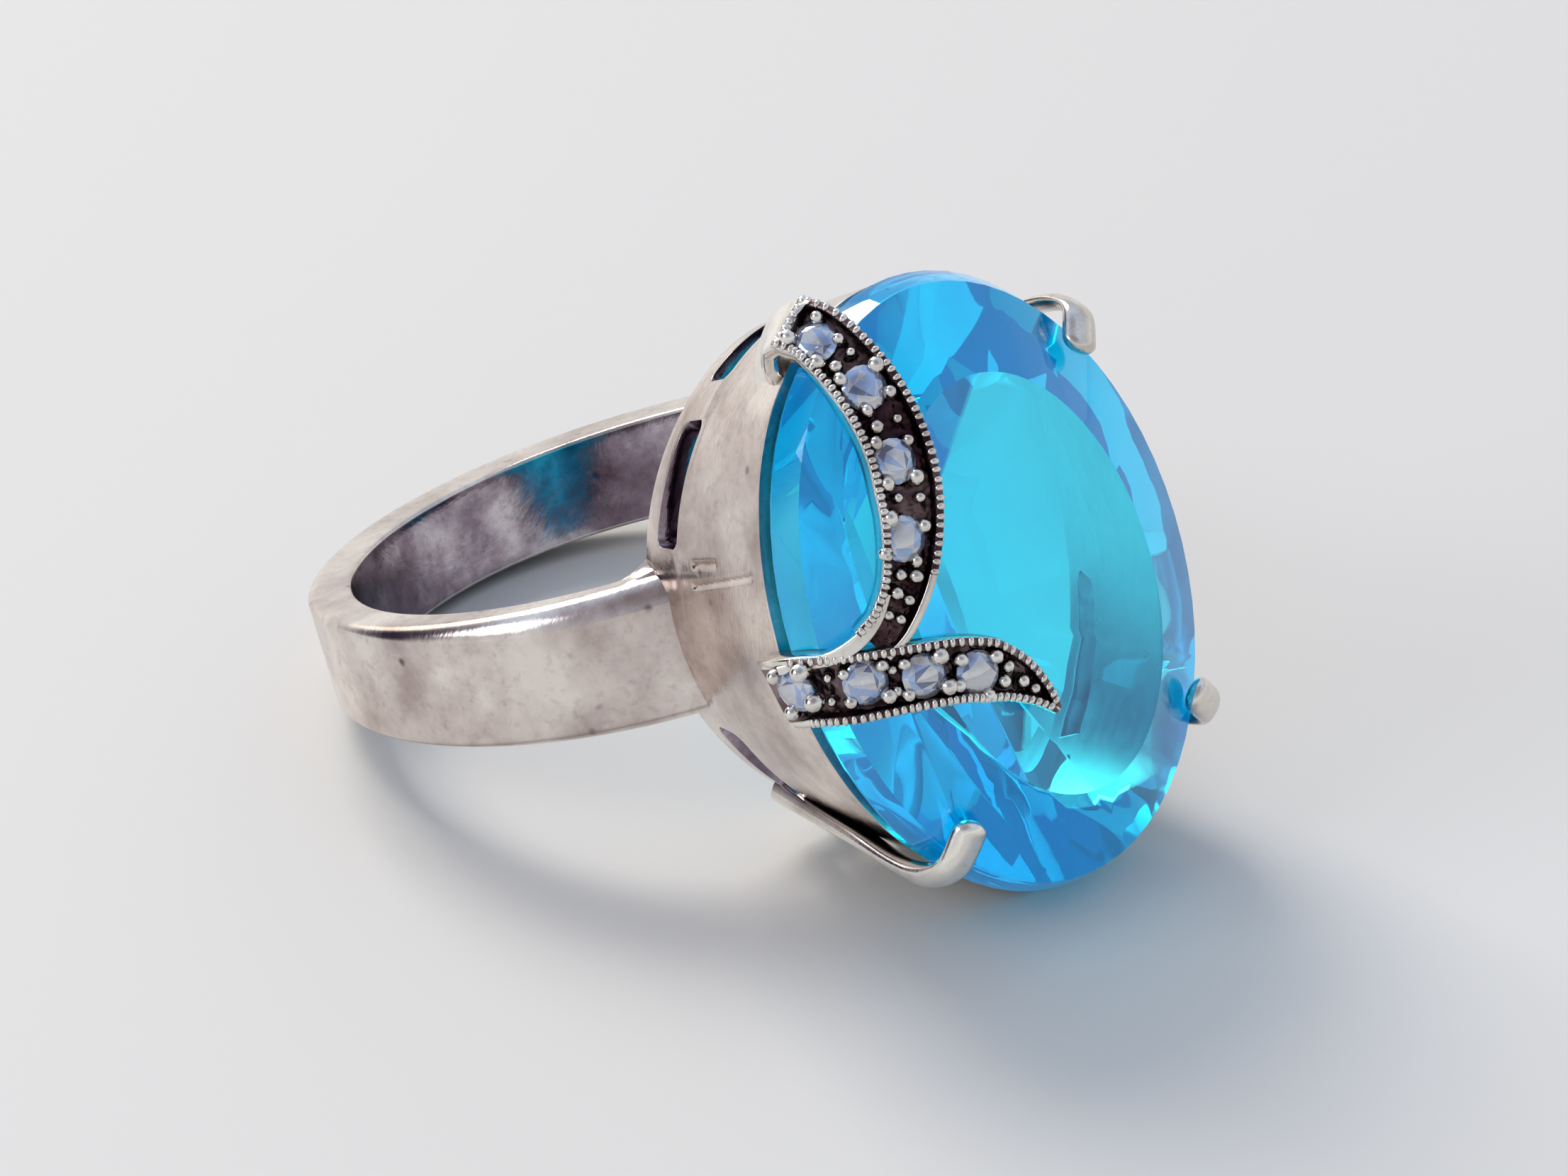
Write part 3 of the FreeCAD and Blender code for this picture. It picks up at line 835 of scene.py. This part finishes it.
def centre_stone():
    """Oval stone: table, stars, kites and halves above a smooth bevel, kites and long halves below."""
    count = 16
    shape = Shape()
    table, tips = facet_tier(bevel_x, bevel_half, table_x, table_half, 0.55, count)
    culet, low_tips = facet_tier(girdle_x - 0.1, girdle_half, culet_x, culet_half, 0.72, count)

    def oval(x, half, steps):
        return [Vector((x, half[0] * math.cos(2 * math.pi * (i + 2) / steps),
                        half[1] * math.sin(2 * math.pi * (i + 2) / steps))) for i in range(steps)]

    steps = count * 4
    top = oval(bevel_x, bevel_half, steps)
    middle = oval(girdle_x, girdle_half, steps)
    bottom = oval(girdle_x - 0.1, girdle_half, steps)
    curve = []
    for k in range(count):
        for part in (1, 2, 3):
            turn = 2 * math.pi * (k + 0.5 + part / 4) / count
            curve.append(Vector((table_x, table_half[0] * math.cos(turn), table_half[1] * math.sin(turn))))
    verts = table + tips + culet + low_tips + top + middle + bottom + curve
    at_tips, at_culet, at_low = count, 2 * count, 3 * count
    at_top, at_middle, at_bottom = 4 * count, 4 * count + steps, 4 * count + 2 * steps
    at_curve = 4 * count + 3 * steps
    rim = [n for k in range(count) for n in (k, at_curve + 3 * k, at_curve + 3 * k + 1, at_curve + 3 * k + 2)]
    flats = [tuple(rim), tuple(reversed(range(at_culet, at_culet + count)))]
    for k in range(count):
        j, before = (k + 1) % count, (k - 1) % count
        ring = [(4 * k + i) % steps for i in range(5)]
        flats.append((*rim[4 * k:4 * k + 4], j, at_tips + k))
        flats.append((k, at_tips + k, at_top + ring[0], at_tips + before))
        flats.append((at_tips + k, at_top + ring[0], at_top + ring[1], at_top + ring[2]))
        flats.append((at_tips + k, at_top + ring[2], at_top + ring[3], at_top + ring[4]))
        flats.append((at_culet + k, at_culet + j, at_low + k))
        flats.append((at_culet + k, at_low + k, at_bottom + ring[0], at_low + before))
        flats.append((at_low + k, at_bottom + ring[0], at_bottom + ring[1], at_bottom + ring[2]))
        flats.append((at_low + k, at_bottom + ring[2], at_bottom + ring[3], at_bottom + ring[4]))
    shape.add(verts, flats, 0, True)
    smooth = []
    for i in range(steps):
        j = (i + 1) % steps
        smooth.append((at_top + i, at_top + j, at_middle + j, at_middle + i))
        smooth.append((at_middle + i, at_middle + j, at_bottom + j, at_bottom + i))
    for face in smooth:
        shape.faces.append(list(face))
        shape.kinds.append(0)
        shape.flat.append(False)
    piece("centre_stone", shape, HEAD, [blue_gem], sharp_angle=20)


def accent(number, point):
    """Small round brilliant, sunk a little in its leaf. Its table is a low star, and its facets take at
    random a white finish or a painted blue or painted dark reflection."""
    up = outward_at(point)
    tilt = Vector((0, 0, 1)).rotation_difference(up).to_matrix().to_4x4()
    turn = Matrix.Rotation(chance.uniform(0, 0.8), 4, "Z")
    place = Matrix.Translation(point - up * 0.20) @ tilt @ turn
    rings = ((8, 0.0, 0.37, 0.2), (8, 0.5, 0.54, 0.125), (16, 0.25, 0.66, 0.02), (16, 0.25, 0.66, -0.03),
             (8, 0.5, 0.20, -0.32), (1, 0.0, 0.0, -0.42))
    work = bmesh.new()
    for sides, offset, radius, height in rings:
        for k in range(sides):
            angle = 2 * math.pi * (k + offset) / sides
            work.verts.new(place @ Vector((radius * math.cos(angle), radius * math.sin(angle), height)))
    hull = bmesh.ops.convex_hull(work, input=work.verts)
    spare = [v for v in hull["geom_interior"] if isinstance(v, bmesh.types.BMVert)]
    bmesh.ops.delete(work, geom=spare, context="VERTS")
    work.verts.index_update()
    shape = Shape()
    verts = [v.co.copy() for v in work.verts]
    faces, kinds = [], []
    middle = place @ Vector((0, 0, 0.2))
    # Each facet takes the white finish, or at random a painted blue reflection or a painted dark reflection.
    for face in work.faces:
        corners = [v.index for v in face.verts]
        face_middle = face.calc_center_median()
        if len(corners) == 8 and (face_middle - middle).length < 0.05:
            verts.append(face_middle + up * 0.02)
            star = [(corners[i], corners[(i + 1) % 8], len(verts) - 1) for i in range(8)]
            faces += star
            kinds += [chance.choice((0, 0, 1, 2, 1)) for _ in star]
        else:
            faces.append(corners)
            kinds.append(chance.choice((0, 0, 1, 1, 2)))
    shape.add(verts, faces, kinds, True)
    work.free()
    piece(f"accent_stone_{number}", shape, HEAD, [white_gem, white_gem_painted_blue_reflection, white_gem_painted_dark_reflection])


gallery()
shank()
claw("claw_lower_left", -1, -1, 43, 0.0)
claw("claw_lower_right", 1, -1, 43, 0.3)
claw("claw_upper_right", 1, 1, 39, 0.3)
leaves()
strap()
centre_stone()
for number, point in enumerate(upper_stones + lower_stones, 1):
    accent(number, point)


# ---------------------------------------------------------------- floor, light and camera

def floor():
    mesh = bpy.data.meshes.new("floor")
    work = bmesh.new()
    bmesh.ops.create_grid(work, x_segments=40, y_segments=40, size=1.2)
    work.to_mesh(mesh)
    work.free()
    obj = bpy.data.objects.new("floor", mesh)
    bpy.context.scene.collection.objects.link(obj)
    material, n = new_material("pale_floor")
    place = n.add("ShaderNodeTexCoord").outputs["Object"]
    cloud = n.noise(place, 9.0, 3.0, 0.5)
    grain = n.noise(place, 900.0, 3.0, 0.6)
    tone = n.ramp(cloud, [(0.3, (0.665, 0.655, 0.635)), (0.7, (0.68, 0.67, 0.65))])
    bump = n.add("ShaderNodeBump", Strength=0.05, Distance=0.0001, Height=grain).outputs["Normal"]
    shader = n.add("ShaderNodeBsdfPrincipled", Base_Color=tone, Roughness=0.6, Normal=bump)
    n.add("ShaderNodeOutputMaterial", Surface=shader.outputs[0])
    mesh.materials.append(material)


def direction(azimuth, elevation):
    """Unit vector from the object, with azimuth 0 towards -Y and 90 towards +X, in degrees."""
    a, e = math.radians(azimuth), math.radians(elevation)
    return Vector((math.sin(a) * math.cos(e), -math.cos(a) * math.cos(e), math.sin(e)))


def soft_light(name, azimuth, elevation, distance, size, power, colour):
    data = bpy.data.lights.new(name, "AREA")
    data.shape = "RECTANGLE"
    data.size, data.size_y = size
    data.energy = power
    data.color = colour
    obj = bpy.data.objects.new(name, data)
    bpy.context.scene.collection.objects.link(obj)
    obj.location = direction(azimuth, elevation) * distance
    obj.rotation_euler = (-direction(azimuth, elevation)).to_track_quat("-Z", "Y").to_euler()


def sky():
    """Pale room that is darker behind the camera, with a dark doorway and a bright window.

    Each patch is its azimuth, elevation, inner and outer angle from its middle, and colour."""
    patches = ((-40, 62, 18, 42, (0.36, 0.34, 0.39)),
               (-152, 17, 12, 30, (0.05, 0.04, 0.08)),
               (172, 30, 6, 18, (2.6, 2.35, 1.9)))
    world = bpy.data.worlds.new("studio")
    world.use_nodes = True
    bpy.context.scene.world = world
    n = Nodes(world.node_tree)
    way = n.add("ShaderNodeTexCoord").outputs["Generated"]
    height = n.add("ShaderNodeSeparateXYZ", Vector=way).outputs["Z"]
    shade = n.ramp(height, [(0.0, (0.86, 0.86, 0.85)), (0.1, (0.90, 0.90, 0.89)), (0.4, (0.62, 0.66, 0.74)),
                            (1.0, (0.66, 0.78, 1.0))])
    for azimuth, elevation, inner, outer, colour in patches:
        towards = n.add("ShaderNodeVectorMath", {"operation": "DOT_PRODUCT"}, i0=way,
                        i1=direction(azimuth, elevation))
        near = n.scale(towards.outputs["Value"], math.cos(math.radians(outer)),
                       math.cos(math.radians(inner)), 0.0, 1.0)
        shade = n.mix(near, shade, (*colour, 1))
    back = n.add("ShaderNodeBackground", Color=shade, Strength=0.92)
    n.add("ShaderNodeOutputWorld", Surface=back.outputs[0])


def camera():
    """Long lens, from the front left of the object as it faces -Y, a little above it."""
    data = bpy.data.cameras.new("camera")
    data.sensor_width = 36
    data.lens = 214.264
    data.clip_start = 0.01
    data.clip_end = 20
    obj = bpy.data.objects.new("camera", data)
    bpy.context.scene.collection.objects.link(obj)
    azimuth, elevation, roll = -42.717, 30.269, math.radians(-4.2207)
    back = direction(azimuth, elevation)
    level = Vector((math.cos(math.radians(azimuth)), math.sin(math.radians(azimuth)), 0))
    rise = back.cross(level)
    right = level * math.cos(roll) + rise * math.sin(roll)
    up = -level * math.sin(roll) + rise * math.cos(roll)
    aim = Vector((-0.0010075, -0.0023388, 0.006204))
    place = Matrix((right, up, back)).transposed().to_4x4()
    place.translation = aim + back * 0.270596
    obj.matrix_world = place
    bpy.context.scene.camera = obj


# The standard view keeps the strong blue of the stone, which the default one greys.
bpy.context.scene.view_settings.view_transform = "Standard"
floor()
soft_light("window", 163, 42, 0.9, (0.40, 0.40), 5.0, (1.0, 0.95, 0.87))
soft_light("side", -115, 35, 0.9, (0.5, 0.35), 1.5, (0.95, 0.97, 1.0))
sky()
camera()
